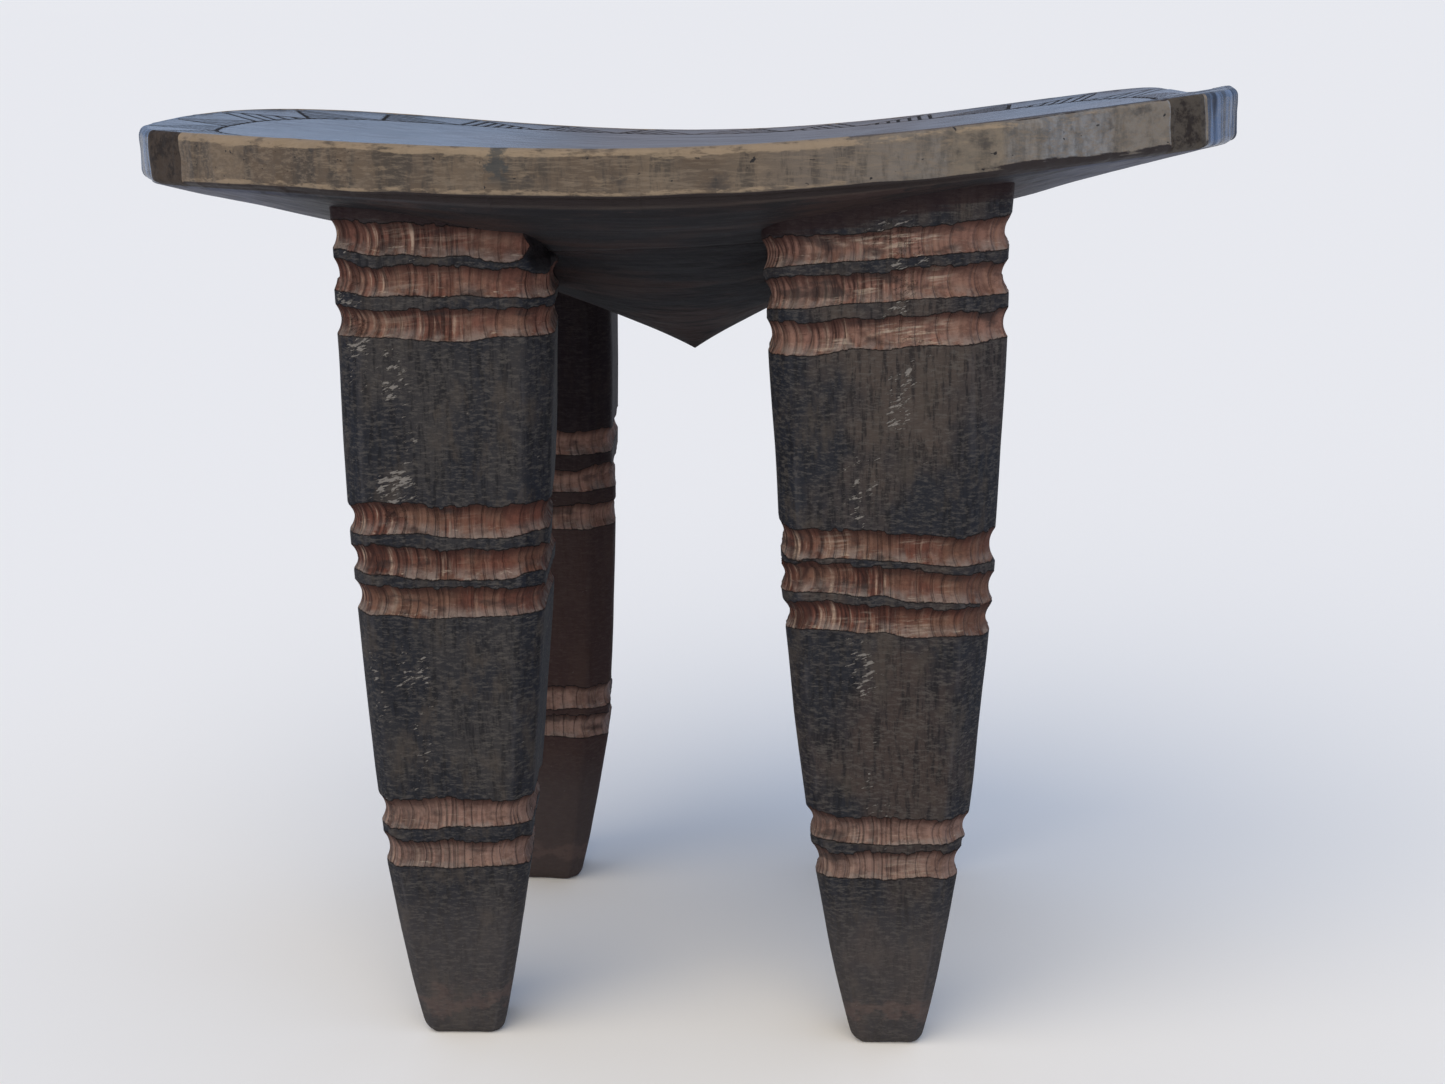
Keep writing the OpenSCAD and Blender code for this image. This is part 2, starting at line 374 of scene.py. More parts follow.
def add_rim(rings):
    """Upper edge, wall and lower edge of the rim, most handled towards -X, with darker edges towards +X and
    painted shade on the lower edge.
    """
    edge = EDGE * (1 + 0.25 * noise_flat(rim_along, rim_along * 0, 9, 21))
    edge = edge * (1 - 0.3 * (rim_tone > 0.8))
    handled = np.clip(1.1 - (rim_plan[:, 0] - 10) / 60, 0.25, 1)
    # how much darker the edges go towards +X: painted shade at the lower edge and a dark line at the upper
    # edge
    edge_darkening = 1.4 * (1 - handled)
    depth = RIM_DEPTH + END_THICKENING * (rim_plan[:, 0] / HALF_LENGTH) ** 2
    direction = rim_plan / np.linalg.norm(rim_plan, axis=1)[:, None]

    def add(inset, drop, side, wear):
        cut = rim_inset + rim_fall * (drop / RIM_DEPTH - 0.5)
        nicks = 0.10 * noise_flat(rim_along, drop + 0 * rim_along, 2.2, 31)
        rough = 0.16 * noise_flat(rim_along, drop + 0 * rim_along, (9, 4, 1), 32)
        flat = rim_plan - direction * (inset + cut + nicks + rough)[:, None]
        rings.add(flat, dish(*rim_plan.T) - drop, side, wear=wear)

    bends = np.radians(np.linspace(8, 82, 6))
    for bend in bends:
        side = np.where(handled < 0.75, TOP, WALL) if bend < 0.6 else WALL
        wear = handled - edge_darkening * (0.6 < bend < 0.9)
        add(edge * (1 - math.sin(bend)), edge * (1 - math.cos(bend)), side, wear)
    for part in np.linspace(0, 1, 14):
        wear = max(0.45 - part * 8, part * 8 - 7.5, 0) * handled - min(max(part * 12 - 11, 0), 1) * edge_darkening
        add(0 * edge, edge + (depth - 2 * edge) * part, WALL, wear)
    for bend in bends:
        # the lower bends get -2: painted shade along the rim's lower edge
        wear = 0.6 * handled - edge_darkening if bend < 0.5 else -2.0
        add(edge * (1 - math.cos(bend)), depth - edge * (1 - math.sin(bend)), WALL, wear)


def add_underside(rings):
    """The underside, in to the oval where the boss starts, and the faces that the boss hides."""
    outer, seam = underside_outline()
    for part in np.linspace(0, 1, 26):
        flat = (outer + (seam - outer) * part)[::2]
        rings.add(flat, underside(*flat.T), UNDER)
    for part, height, thin in ((0.98, PLATE_CORE - 1, 2), (0.6, PLATE_CORE, 4), (0.25, PLATE_CORE, 8)):
        rings.add(seam[::thin] * part, height, UNDER)


def make_plate():
    """The dished plate, closed behind the boss."""
    rings = Rings()
    add_top(rings)
    add_rim(rings)
    add_underside(rings)
    top, bottom = from_plate_frame(np.array([[0, 0, dish(0, 0)], [0, 0, PLATE_CORE]]))
    placed = [from_plate_frame(ring) for ring in rings.points]
    return ring_mesh("dished_plate", placed, rings.marks, top, bottom)


def make_boss():
    """The pointed boss: the middle of the underside, closed inside the plate."""
    seam = underside_outline()[1][::2]
    rings = [np.column_stack([seam * part, np.full(len(seam), BOSS_CORE)]) for part in (0.3, 0.97)]
    for part in np.linspace(1, 0.02, 70):
        flat = seam * part
        rings.append(np.column_stack([flat, underside(*flat.T)]))
    marks = {"side": [np.full(len(ring), UNDER) for ring in rings]}
    placed = [from_plate_frame(ring) for ring in rings]
    centre = np.zeros(1)
    top, bottom = from_plate_frame(np.array([[0, 0, BOSS_CORE], [0, 0, underside(centre, centre)[0]]]))
    return ring_mesh("pointed_boss", placed, marks, top, bottom)


# ---------------------------------------------------------------- shape of the legs

# For each leg: how its foot is off its mount and how its top leans from it, the half widths of its foot,
# ankle and top, the bearing and height of a dark hollow if it has one, and the height and slope of each groove
LEGS = {
    "leg_front_left": dict(
        off=(-1.0, -1.9), lean=(2.2, 4.3), sizes=(6.5, 12.1, 17.6), seed=11, hollow=(-28, 138.2),
        grooves=((35.3, 0.0), (42.5, 0.0), (79.7, 0.0), (86.7, 0.0), (93.7, 0.0),
                 (126.1, -0.01), (132.8, -0.03), (139.0, -0.07))),
    "leg_front_right": dict(
        off=(-0.35, -2.7), lean=(-1.15, 5.3), sizes=(5.7, 11.8, 19.3), seed=23, hollow=None,
        grooves=((34.7, 0.0), (41.0, -0.03), (78.0, -0.032), (83.8, -0.064), (90.0, -0.045),
                 (124.6, 0.065), (131.7, 0.08), (138.2, 0.095))),
    "leg_back_left": dict(
        off=(2.4, -0.1), lean=(0.5, -1.8), sizes=(6.6, 13.5, 16.9), seed=37, hollow=None,
        grooves=((35.1, 0.0), (41.6, 0.0), (78.9, 0.01), (86.1, 0.0), (93.3, 0.02),
                 (126.0, 0.0), (132.9, 0.0), (139.8, 0.0))),
    "leg_back_right": dict(
        off=(0.0, 0.0), lean=(-1.2, -1.2), sizes=(6.4, 12.2, 18.0), seed=53, hollow=None,
        grooves=((35.2, 0.0), (42.0, 0.0), (78.6, 0.0), (85.4, 0.0), (92.2, 0.0),
                 (125.6, 0.03), (132.6, 0.03), (139.6, 0.03))),
}
BREAKS = (38.5, 86.5, 133)  # heights where the flats are hewn afresh
# Flats of a leg: the way each one faces, in degrees, how far out it stands as a fraction of the half width,
# and how dark it is painted: painted shade on the sides and chamfers, varied a little at random
FLATS = ((-90, 0.88, 0.2), (-43, 1.18, 0.8), (5, 0.98, 0.9), (50, 1.2, 0.8),
         (90, 0.93, 0.4), (130, 1.17, 0.8), (178, 0.98, 0.6), (-138, 1.18, 1.0))
CORNER = 44  # sharpness of the worn corners between the flats
ANKLE = 32.0
LEG_AROUND = 272
GROOVE_WIDTH, GROOVE_DEPTH = 4.9, 0.85
FOOT_WEAR, FOOT_INSET = 2.2, 1.1  # height of the worn edge of a foot, and how far it goes in
HEAD_FLARE, INTO_PLATE = 1.0, 1.5  # a leg spreads towards the plate, and runs a little way into it
# A leg's head is drawn in where it comes further out than this fraction of the oval, by so much for each unit
PLATE_MARGIN, DRAWN_IN = 0.91, 62
DRAWN_FROM, DRAWN_OVER = 105, 30  # height where that starts, and over how much height it grows
STROKES = 90  # gouge strokes round a leg
STROKE_RIDGE, STROKE_RIDGE_WIDTH = 0.10, 0.7  # what stands between them
HOLLOW_REACH, HOLLOW_DEPTH = (4.6, 4.2), 0.9  # half width and half height of the dark hollow


def leg_half_width(z, sizes):
    """Nearly straight taper from foot to ankle, then a swelling shaft."""
    foot, ankle, top = sizes
    rise = np.clip((z - ANKLE) / (DISH_HEIGHT - ANKLE), 0, 1)
    below = foot + (ankle - foot) * np.clip(z / ANKLE, 0, 1) ** 0.86
    return np.where(z < ANKLE, below, ankle + (top - ankle) * (1 - (1 - rise) ** 2))


def gouge_strokes(turn, half_width, rng):
    """Narrow strokes side by side round a leg: a value for each one, and the distance to its edge."""
    widths = rng.uniform(0.9, 3.2, STROKES)
    edges = np.concatenate([[0], np.cumsum(widths)])
    edges *= 2 * np.pi / edges[-1]
    stroke = np.clip(np.searchsorted(edges, turn % (2 * np.pi), side="right") - 1, 0, STROKES - 1)
    to_edge = np.minimum(turn % (2 * np.pi) - edges[stroke], edges[stroke + 1] - turn % (2 * np.pi))
    return rng.uniform(-1, 1, STROKES)[stroke], to_edge * half_width


def cut_groove(across, z, height, stroke, rough, rng):
    """Depth of one groove in one flat, below the flat, with gouge strokes of uneven length along its lips."""
    middle = height + rng.uniform(-0.35, 0.35) + rng.uniform(-0.02, 0.02) * across
    middle = middle + 0.13 * stroke + 0.5 * rough
    half = GROOVE_WIDTH / 2 * (rng.uniform(0.94, 1.08) + 0.06 * stroke + 0.11 * np.roll(rough, 40, axis=1))
    depth = GROOVE_DEPTH * rng.uniform(0.85, 1.25)
    place = (z - middle) / half
    return depth * (1 - place**2), place


def hewn_leg(turn, z, half_width, grooves, seed):
    """Distance of a leg's surface from its middle, with marks for its material.

    Each flat is notched on its own by the grooves."""
    rng = np.random.default_rng(seed)
    zone = np.searchsorted(BREAKS, z)
    strokes = [gouge_strokes(turn, half_width, rng) for _ in grooves]
    ragged = noise(np.dstack([16 * np.cos(turn), 16 * np.sin(turn), z / 3]), 4.5, seed + 5)
    plain, notched, nearest = np.zeros_like(z), np.zeros_like(z), np.zeros_like(z)
    marks = {name: np.zeros_like(z) for name in ("cut", "lip", "tone", "stroke", "pit")}
    for facing, reach, dark in FLATS:
        facing = np.radians(facing + rng.uniform(-3, 3, 4))[zone]
        reach = (reach + rng.uniform(-0.012, 0.012, 4))[zone]
        # the flat's painted shade, darker on the sides and chamfers, varied at random
        shade = dark + rng.uniform(-0.2, 0.2, 4)[zone]
        toward = np.maximum(np.cos(turn - facing), 0.01)
        across = half_width * np.sin(turn - facing)
        deepest, lip, edge = np.full_like(z, -1.2), np.zeros_like(z), np.full_like(z, 1.0)
        for (height, slope), (stroke, to_edge) in zip(grooves, strokes):
            sloped = height + slope * half_width * np.cos(turn)
            depth, place = cut_groove(across, z, sloped, stroke, ragged, rng)
            here = depth > deepest
            deepest = np.where(here, depth, deepest)
            lip = np.where(here, np.clip(place, -1, 1), lip)
            edge = np.where(here, to_edge, edge)
        ridge = STROKE_RIDGE * np.clip(1 - edge / STROKE_RIDGE_WIDTH, 0, 1) * (deepest > 0)
        weight = (toward / reach) ** CORNER
        plain += weight
        notched += (toward / (reach - (np.maximum(deepest, 0) - ridge) / half_width)) ** CORNER
        for name, value in (("cut", deepest), ("lip", lip), ("tone", shade), ("stroke", edge)):
            marks[name] += weight * value
        nearest = np.maximum(nearest, weight)
    marks = {name: value / plain for name, value in marks.items()}
    marks["rubbed"] = 1 - np.clip((nearest / plain - 0.5) / 0.4, 0, 1)
    return half_width * plain ** (-1 / CORNER), half_width * notched ** (-1 / CORNER), marks


def leg_rows(grooves, top):
    """Heights of the rings of a leg from its top down, closer together round the grooves."""
    rows, z = [], top
    while z > FOOT_WEAR:
        rows.append(z)
        z -= 0.3 if min(abs(z - g) for g in grooves) < 3.7 else 0.8
    return np.array(rows + [FOOT_WEAR * part for part in (0.9, 0.65, 0.42, 0.22, 0.08, 0)])


def make_leg(node):
    """One leg, from its foot to a little way inside the plate."""
    spec = LEGS[node]
    seed = spec["seed"]
    foot = feet[node][:2] + np.array(spec["off"])
    lean = np.array(spec["lean"]) / DISH_HEIGHT

    turn = np.arange(LEG_AROUND) * 2 * np.pi / LEG_AROUND
    head = foot + lean * DISH_HEIGHT + 1.25 * spec["sizes"][2] * np.column_stack([np.cos(turn), np.sin(turn)])
    head_height = from_plate_frame(np.column_stack([head, underside(*head.T)]))[:, 2].max() + INTO_PLATE
    rows = leg_rows([height for height, _ in spec["grooves"]], head_height)
    z, turn = np.meshgrid(rows, turn, indexing="ij")

    def place(reach):
        centre = foot + lean * z[..., None]
        return np.dstack([centre + reach[..., None] * np.dstack([np.cos(turn), np.sin(turn)]), z])

    half_width = leg_half_width(z, spec["sizes"])
    plain, surface, marks = hewn_leg(turn, z, half_width, spec["grooves"], seed)
    points = place(plain)
    surface += 0.20 * noise(points, (11, 11, 15), seed) + 0.05 * noise(points, (2.5, 2.5, 5), seed + 1)
    surface += HEAD_FLARE * np.exp((z - head_height) / 10)
    out = oval_reach(points[..., 0], points[..., 1], HALF_LENGTH, HALF_DEPTH)
    surface -= DRAWN_IN * np.clip(out - PLATE_MARGIN, 0, 1) * np.clip((z - DRAWN_FROM) / DRAWN_OVER, 0, 1)
    worn = np.sqrt(np.clip(1 - (1 - np.clip(z / FOOT_WEAR, 0, 1)) ** 2, 0, 1))
    surface -= FOOT_INSET * (1 - worn) * (1 + 0.4 * noise(points, 5, seed + 4))
    if spec["hollow"]:
        bearing, height = spec["hollow"]
        across = half_width * ((turn - np.radians(bearing) + np.pi) % (2 * np.pi) - np.pi)
        away = (across / HOLLOW_REACH[0]) ** 4 + ((z - height) / HOLLOW_REACH[1]) ** 4
        marks["pit"] = np.exp(-away) * (1 + 0.5 * noise(points, 2, seed + 6))
        surface -= HOLLOW_DEPTH * marks["pit"]
        marks["cut"] -= 2.5 * marks["pit"]

    placed = place(surface)
    x, y = placed[..., 0], placed[..., 1]
    below = from_plate_frame(np.dstack([x, y, underside(x, y)]))[..., 2] - z
    # how close a point is below the plate: drives the painted shade there and fewer chips
    marks["head"] = np.clip(1 - below / 5, 0, 1)
    marks["round_x"], marks["round_y"] = np.cos(turn), np.sin(turn)
    top = [*(foot + lean * head_height), head_height]
    marks = {name: list(value) for name, value in marks.items()}
    return ring_mesh(node.replace("leg", "grooved_leg"), list(placed), marks, top, [*foot, 0])


# ---------------------------------------------------------------- materials


class Wood:
    """A wood material being put together, in millimetres: most calls add a node and give its output."""

    def __init__(self, name):
        self.material = bpy.data.materials.new(name)
        self.material.use_nodes = True
        self.tree = self.material.node_tree
        self.shader = self.tree.nodes["Principled BSDF"]
        metres = self.add("ShaderNodeTexCoord").outputs["Object"]
        scaled = self.add("ShaderNodeVectorMath", {0: metres, "Scale": 1 / MM}, operation="SCALE")
        self.position = scaled.outputs[0]
        self.x, self.y, self.z = self.add("ShaderNodeSeparateXYZ", {0: self.position}).outputs

    def add(self, kind, values=None, **settings):
        node = self.tree.nodes.new(kind)
        for setting, value in settings.items():
            setattr(node, setting, value)
        for socket, value in (values or {}).items():
            self.put(node.inputs[socket], value)
        return node

    def put(self, socket, value):
        if isinstance(value, bpy.types.NodeSocket):
            self.tree.links.new(value, socket)
        else:
            socket.default_value = value

    def mark(self, name):
        """Value that the mesh holds at each of its points."""
        return self.add("ShaderNodeAttribute", attribute_name=name).outputs["Fac"]

    def math(self, operation, *values):
        return self.add("ShaderNodeMath", dict(enumerate(values)), operation=operation).outputs[0]

    def absolute(self, value):
        return self.math("ABSOLUTE", value)

    def times(self, *values):
        return functools.reduce(lambda first, second: self.math("MULTIPLY", first, second), values)

    def plus(self, *values):
        return functools.reduce(lambda first, second: self.math("ADD", first, second), values)

    def largest(self, *values):
        return functools.reduce(lambda first, second: self.math("MAXIMUM", first, second), values)

    def fade(self, value, low, high, to_low=0.0, to_high=1.0):
        """Smooth step of a value from one level to another."""
        values = {"Value": value, "From Min": low, "From Max": high, "To Min": to_low, "To Max": to_high}
        return self.add("ShaderNodeMapRange", values, interpolation_type="SMOOTHSTEP").outputs[0]

    def noise(self, cell, detail=3.0, roughness=0.55, shift=0.0, slope=0.0):
        """Noise over about one cell: a size, or one size for each axis. It can slope up towards +X."""
        cells = (cell,) * 3 if isinstance(cell, (int, float)) else cell
        position = self.position
        if slope:
            level = self.math("MULTIPLY_ADD", self.x, -slope, self.z)
            position = self.add("ShaderNodeCombineXYZ", {0: self.x, 1: self.y, 2: level}).outputs[0]
        mapped = self.add("ShaderNodeMapping", {"Vector": position, "Location": (shift, shift, shift),
                                                "Scale": [1 / c for c in cells]})
        return self.add("ShaderNodeTexNoise", {"Vector": mapped.outputs[0], "Scale": 1.0, "Detail": detail,
                                               "Roughness": roughness}).outputs["Fac"]

    def patches(self, low, high, *noise, **more):
        """Patches where noise is above a level, with soft edges: 0 at the low level and 1 at the high one."""
        return self.fade(self.noise(*noise, **more), low, high)

    def ragged(self, value, reach, *noise):
        """A value with noise added, up to a reach either way."""
        return self.plus(value, self.fade(self.noise(*noise), 0, 1, -reach, reach))

    def mix(self, amount, first, second):
        """Colour between two colours."""
        node = self.add("ShaderNodeMix", data_type="RGBA")
        self.put(node.inputs["Factor"], amount)
        for socket, colour in ((6, first), (7, second)):
            self.put(node.inputs[socket], (*colour, 1) if isinstance(colour, tuple) else colour)
        return node.outputs[2]

    def coat(self, colour, amount, strength, second):
        """A colour with a coat of a second colour over it."""
        return self.mix(self.times(amount, strength), colour, second)

    def finish(self, colour, roughness, bumps, **constants):
        """Joins colour, roughness and a chain of bumps, each a height and its depth."""
        self.put(self.shader.inputs["Base Color"], colour)
        self.put(self.shader.inputs["Roughness"], roughness)
        for socket, value in constants.items():
            self.shader.inputs[socket.replace("_", " ")].default_value = value
        normal = None
        for height, depth in bumps:
            bump = self.add("ShaderNodeBump", {"Height": height, "Distance": depth * MM, "Strength": 1.0})
            if normal:
                self.put(bump.inputs["Normal"], normal)
            normal = bump.outputs[0]
        self.put(self.shader.inputs["Normal"], normal)
        return self.material


def fibre_bumps(wood, depth=1.0):
    """Fine fibres along the grain, and shallow scars."""
    fibres = wood.noise((4.5, 0.35, 0.35), 4, 0.65, 4.4)
    scars = wood.noise((2.5, 2.5, 1.2), 4, 0.6, 6.6)
    return [(fibres, 0.10 * depth), (scars, 0.22 * depth)]


# ---------------------------------------------------------------- leg wood


def stain(wood, tone, rubbed):
    """Near-black stain: cool and warm patches, painted shade on the side flats and the back legs, a fine weave
    of streaks and rubbed corners.
    """
    high = wood.fade(wood.z, 70, 100)
    brown = wood.mix(wood.fade(wood.x, -10, 10), (0.034, 0.031, 0.031),
                     wood.mix(high, (0.044, 0.032, 0.028), (0.066, 0.050, 0.041)))
    colour = wood.mix(wood.patches(0.42, 0.60, (16, 16, 22), 4, shift=3.1), (0.014, 0.015, 0.020), brown)
    # painted shade: the flats that face away from the front are darkened towards blue-black
    colour = wood.coat(colour, tone, 0.75, (0.011, 0.013, 0.020))
    uprights = wood.patches(0.46, 0.62, (0.9, 0.9, 7), 4, 0.7, 8.4)
    colour = wood.coat(colour, uprights, 0.7, (0.005, 0.005, 0.007))
    weave = wood.patches(0.46, 0.66, (1.5, 1.5, 0.5), 4, 0.75, 5.2)
    colour = wood.coat(colour, weave, 0.5, (0.098, 0.088, 0.078))
    worn = wood.patches(0.50, 0.68, (5, 5, 10), 5, 0.7, 14.2)
    colour = wood.coat(colour, worn, 0.55, (0.062, 0.050, 0.041))
    ridge = wood.times(wood.fade(rubbed, 0.1, 1.0), wood.patches(0.42, 0.60, (4, 4, 9), 4, shift=4.9))
    colour = wood.coat(colour, ridge, 0.2, (0.100, 0.096, 0.104))
    # painted shade: the back legs are darkened and reddened, most of all high up under the plate
    return wood.coat(colour, back_leg_shade_and_wear(wood), 0.7, wood.mix(high, (0.048, 0.023, 0.019), (0.010, 0.002, 0.003)))


def back_leg_shade_and_wear(wood):
    """0 on the front legs and 1 on the back ones, which get darker, redder painted shade and fewer chips."""
    return wood.fade(wood.y, -10, 15)


def pale_chips(wood):
    """How much of a chip there is: slanted flecks in clusters, in a column up the middle of a leg."""
    cluster = wood.patches(0.46, 0.64, (9, 9, 20), 3, shift=11.3)
    from_column = wood.plus(wood.mark("round_x"), wood.fade(wood.fade(wood.x, -10, 10), 0, 1, 0.5, 0.0))
    column = wood.times(wood.fade(wood.absolute(from_column), 0.5, 0.2, 0.1, 1.0), wood.fade(wood.z, 25, 60))
    column = wood.math("SUBTRACT", column, wood.plus(wood.mark("head"), wood.times(back_leg_shade_and_wear(wood), 0.6)))
    flecks = wood.noise((2.0, 2.0, 0.6), 4, 0.65, 12.7, slope=0.35)
    return wood.fade(wood.plus(flecks, wood.times(cluster, column, 0.20)), 0.70, 0.75)


def stain_marks(wood, colour, chips):
    """The stain with its paler foot, the scar round the foot, chips, painted shade on the head under the plate
    and painted shade in the hollow.
    """
    colour = wood.mix(wood.fade(wood.z, 34, 18, 0.0, 0.4), colour, (0.078, 0.068, 0.065))
    height = wood.ragged(wood.z, 5, (5, 5, 4), 4, 0.65, 3.9)
    scar = wood.times(wood.fade(height, 4.5, 6), wood.fade(height, 9.5, 7))
    colour = wood.coat(colour, scar, 0.25, (0.150, 0.095, 0.080))
    colour = wood.coat(colour, chips, 0.65, (0.25, 0.23, 0.21))
    # painted shade: dark red-brown on the leg's head just under the plate
    under_plate_shade = wood.ragged(wood.mark("head"), 0.4, (12, 12, 1.0), 4, 0.6, 27.1)
    colour = wood.mix(wood.fade(under_plate_shade, 0.25, 0.7, 0, 0.8), colour, (0.018, 0.007, 0.007))
    # painted shade: the hollow goes near-black
    return wood.mix(wood.fade(wood.mark("pit"), 0.1, 0.6, 0, 0.85), colour, (0.006, 0.005, 0.006))


def gouge_lines(wood):
    """Distance from the edges of narrow upright strips round a leg, and uneven upright lines."""
    round_leg = wood.add("ShaderNodeCombineXYZ", {0: wood.mark("round_x"), 1: wood.mark("round_y"),
                                                  2: wood.times(wood.z, 0.005)}).outputs[0]
    strips = wood.add("ShaderNodeTexVoronoi", {"Vector": round_leg, "Scale": 8.5, "Randomness": 1.0},
                      feature="DISTANCE_TO_EDGE")
    lines = wood.add("ShaderNodeTexNoise", {"Vector": round_leg, "Scale": 15.0, "Detail": 5.0,
                                            "Roughness": 0.72})
    return strips.outputs["Distance"], lines.outputs["Fac"]


def cut_wood(wood, patches, tone):
    """Bare red-brown wood, paler on the feet, on the back legs and on the top of the right legs."""
    colour = wood.mix(patches, (0.128, 0.049, 0.034), (0.158, 0.082, 0.056))
    # painted shade from the same flat tone, carried into the bare wood of the grooves
    colour = wood.coat(colour, tone, 0.4, (0.088, 0.034, 0.026))
    top = wood.times(wood.fade(wood.z, 105, 120), wood.fade(wood.x, -10, 15, 0.15, 0.55))
    paler = wood.largest(wood.fade(wood.z, 70, 40, 0, 0.6), top, wood.fade(wood.y, -10, 15, 0, 0.8))
    return wood.mix(paler, colour, (0.285, 0.163, 0.125))


def cut_strokes(wood, colour, patches, strips, lines, stroke):
    """Pale and dark upright stroke lines, clearest on a leg's left, and dark lines between the strokes."""
    towards_right = wood.plus(wood.mark("round_x"), wood.fade(patches, 0, 1, -0.4, 0.4))
    clear = wood.times(wood.fade(towards_right, 0.3, -0.6, 0.12, 1.0), wood.fade(wood.z, 40, 70, 0.75, 1.0))
    colour = wood.coat(colour, wood.times(wood.fade(lines, 0.51, 0.66), clear), 0.85, (0.42, 0.31, 0.23))
    colour = wood.coat(colour, wood.times(wood.fade(lines, 0.48, 0.36), clear), 0.85, (0.026, 0.011, 0.009))
    between = wood.largest(wood.fade(strips, 0.05, 0.0), wood.fade(stroke, 0.38, 0.0))
    return wood.coat(colour, between, wood.fade(clear, 0.2, 1.0, 0.3, 0.85), (0.022, 0.011, 0.010))


def torn_fibres(wood, lip):
    """Torn fibres: along the lower lip of a groove, and shreds in the middle of a leg's front."""
    along_lip = wood.times(wood.patches(0.59, 0.68, (3.0, 3.0, 0.5), 5, 0.7, 2.2), wood.fade(lip, 0.2, -0.8))
    shreds = wood.times(wood.patches(0.47, 0.60, (6, 6, 0.5), 5, 0.7, 21.3, slope=0.1),
                        wood.fade(wood.mark("round_y"), -0.75, -0.93),
                        wood.patches(0.47, 0.58, (9, 9, 4), 2, shift=23.4),
                        wood.fade(wood.x, -10, 15, 0.25, 1.0), wood.fade(wood.z, 95, 115, 0.5, 1.0))
    return wood.largest(along_lip, shreds)


def bare_cut(wood, strips, lines, stroke, lip, tone):
    """Bare wood of a knife cut: stroke lines, torn fibres, a lower lip pale with dust and painted highlight,
    painted shade on the upper part, mottling, soot.
    """
    patches = wood.patches(0.40, 0.62, (7, 7, 9), 3, shift=9.3)
    colour = cut_strokes(wood, cut_wood(wood, patches, tone), patches, strips, lines, stroke)
    colour = wood.coat(colour, torn_fibres(wood, lip), 0.75, (0.44, 0.35, 0.27))
    # paler lower lip: dust and a painted highlight where it faces up; the low grooves are paler too
    dust_and_highlight = wood.times(wood.fade(lip, 0.0, -0.95), wood.patches(0.35, 0.6, 2.6, 4, shift=6.9))
    dust_and_highlight = wood.largest(dust_and_highlight, wood.fade(wood.z, 60, 35, 0, 0.4))
    colour = wood.coat(colour, dust_and_highlight, 0.7, (0.215, 0.180, 0.160))
    # painted shade on the upper part of each groove
    colour = wood.coat(colour, wood.fade(lip, 0.15, 1.0), 0.85, (0.028, 0.010, 0.008))
    mottle = wood.patches(0.46, 0.62, (2.4, 2.4, 1.5), 5, 0.7, 33.1)
    colour = wood.coat(colour, mottle, 0.4, (0.050, 0.021, 0.016))
    soot = wood.patches(0.54, 0.70, (6, 6, 3), 4, shift=9.9)
    return wood.coat(colour, soot, 0.7, (0.030, 0.022, 0.021))


def leg_wood():
    """Stained wood with bare wood in its grooves."""
    wood = Wood("leg_wood")
    tone, cut, lip, stroke, rubbed = (wood.mark(name) for name in ("tone", "cut", "lip", "stroke", "rubbed"))
    chips = pale_chips(wood)
    dark = stain_marks(wood, stain(wood, tone, rubbed), chips)
    edge = wood.ragged(cut, 0.16, 1.0, 4, 0.65, 7.0)
    inside = wood.fade(edge, -0.02, 0.05)
    strips, lines = gouge_lines(wood)
    colour = wood.mix(inside, dark, bare_cut(wood, strips, lines, stroke, lip, tone))
    # painted shade: a thin near-black line round the edges of the cuts
    edge_shade_line = wood.times(wood.fade(edge, -0.12, 0.0), wood.fade(edge, 0.14, 0.04))
    colour = wood.coat(colour, edge_shade_line, 0.8, (0.008, 0.006, 0.006))
    roughness = wood.plus(wood.fade(inside, 0, 1, 0.60, 0.75), wood.times(tone, 0.15))
    relief = wood.times(wood.plus(lines, wood.fade(strips, 0.0, 0.12)), inside)
    return wood.finish(colour, roughness, [*fibre_bumps(wood), (relief, 0.32), (chips, -0.15)],
                       Specular_IOR_Level=0.15)


# ---------------------------------------------------------------- plate and boss wood


def under_wood(wood):
    """Stain of the underside: red-brown with long streaks along the grain, kept near-black as painted shade,
    with a painted bluish reflection towards the ends.
    """
    # the real red-brown stain, darkened towards near-black as painted shade under the plate
    colour = wood.mix(wood.patches(0.4, 0.62, (26, 9, 9), 3, shift=2.3),
                      (0.005, 0.004, 0.006), (0.024, 0.011, 0.009))
    # painted reflection: bluish sheen towards the ends
    colour = wood.coat(colour, wood.fade(wood.absolute(wood.x), 50, 70), 0.8, (0.066, 0.074, 0.115))
    streaks = wood.patches(0.48, 0.66, (18, 1.1, 1.1), 4, 0.6, 1.2)
    colour = wood.coat(colour, streaks, 0.8, (0.003, 0.002, 0.003))
    pale = wood.patches(0.60, 0.72, (9, 0.9, 0.9), 4, 0.65, 15.2)
    return wood.coat(colour, pale, 0.35, (0.070, 0.040, 0.034))


def oiled_top(wood, incised, grain, middle):
    """Dark oiled top with grain along it, browner in the middle, a painted blue reflection to the left, and
    incised lines.
    """
    colour = wood.mix(wood.patches(0.38, 0.64, (30, 14, 14), 3, shift=6.1),
                      (0.030, 0.026, 0.027), (0.065, 0.047, 0.040))
    colour = wood.coat(colour, middle, 0.7, (0.125, 0.090, 0.068))
    # painted reflection: blue sky sheen towards -X
    colour = wood.coat(colour, wood.fade(wood.x, -15, -55), 0.6, (0.083, 0.115, 0.155))
    colour = wood.coat(colour, wood.fade(grain, 0.45, 0.7), 0.5, (0.016, 0.013, 0.015))
    return wood.coat(colour, incised, 0.95, (0.005, 0.004, 0.005))


